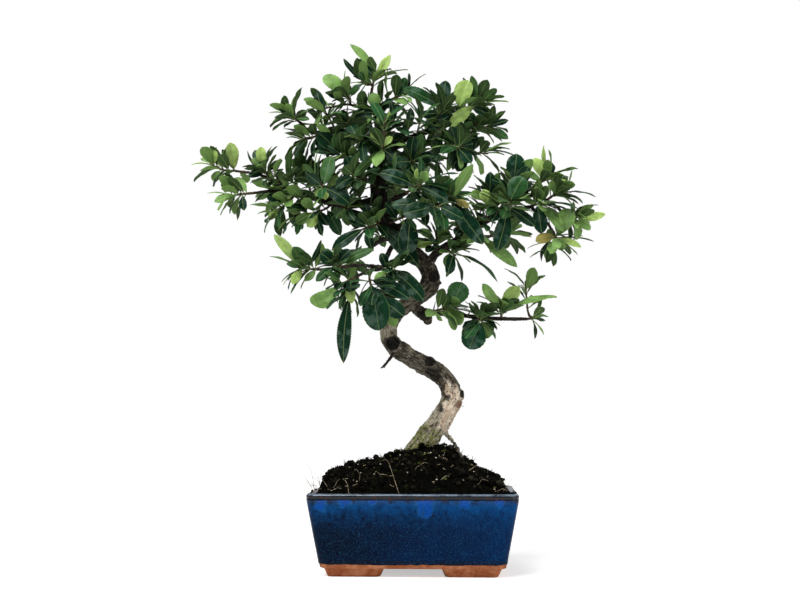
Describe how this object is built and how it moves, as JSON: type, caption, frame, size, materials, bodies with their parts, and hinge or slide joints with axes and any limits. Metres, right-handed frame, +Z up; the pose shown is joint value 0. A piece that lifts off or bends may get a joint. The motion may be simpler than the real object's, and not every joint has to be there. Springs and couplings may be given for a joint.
{
  "type": "firethorn bonsai",
  "caption": "Small bonsai with an S-shaped trunk, glossy leafy sprays and a soil mound in a rectangular blue glazed pot on four feet.",
  "frame": {"origin": "middle of the whole tree and pot, on the surface that the pot's feet stand on", "axes": "+Z up along the tree, +X to the right along the pot's long side as seen from the front, +Y to the back"},
  "size_m": [0.3122, 0.1311, 0.3966],
  "materials": {
    "glaze": "glossy mottled blue glaze over terracotta",
    "drain_plastic": "matt",
    "peat": "damp crumbly peat and grit",
    "bark": "rough fissured bark",
    "foliage": "satin leaf"
  },
  "bodies": {
    "root": {"drain_mesh_1": "drain_plastic", "drain_mesh_2": "drain_plastic", "pot": "glaze", "soil": "peat", "spray_back_high": "foliage", "spray_back_high_right": "foliage", "spray_back_left": "foliage", "spray_back_left_arm": "foliage", "spray_back_low": "foliage", "spray_back_middle": "foliage", "spray_back_right": "foliage", "spray_centre_fill": "foliage", "spray_centre_high": "foliage", "spray_centre_left": "foliage", "spray_centre_right_high": "foliage", "spray_front_low": "foliage", "spray_front_right": "foliage", "spray_front_upper": "foliage", "spray_leader_front": "foliage", "spray_left_arm_inner": "foliage", "spray_left_arm_low": "foliage", "spray_left_arm_top": "foliage", "spray_left_arm_upper": "foliage", "spray_left_high": "foliage", "spray_left_high_tip": "foliage", "spray_left_high_under": "foliage", "spray_left_rosette": "foliage", "spray_left_shoulder": "foliage", "spray_left_tip": "foliage", "spray_left_tip_low": "foliage", "spray_low_left_big": "foliage", "spray_low_left_inner": "foliage", "spray_low_left_main": "foliage", "spray_low_left_middle": "foliage", "spray_low_left_tip": "foliage", "spray_low_right_end": "foliage", "spray_low_right_in": "foliage", "spray_low_right_middle": "foliage", "spray_low_right_up": "foliage", "spray_right_arm_in": "foliage", "spray_right_arm_top": "foliage", "spray_right_end": "foliage", "spray_right_end_low": "foliage", "spray_right_far": "foliage", "spray_right_far_middle": "foliage", "spray_right_far_top": "foliage", "spray_right_high_a": "foliage", "spray_right_high_b": "foliage", "spray_right_high_c": "foliage", "spray_right_high_d": "foliage", "spray_right_inner": "foliage", "spray_right_middle": "foliage", "spray_right_rosette": "foliage", "spray_right_under_a": "foliage", "spray_top": "foliage", "spray_top_right": "foliage", "spray_trunk_front": "foliage", "spray_trunk_left": "foliage", "spray_trunk_right": "foliage", "trunk": "bark"}
  },
  "joints": []
}
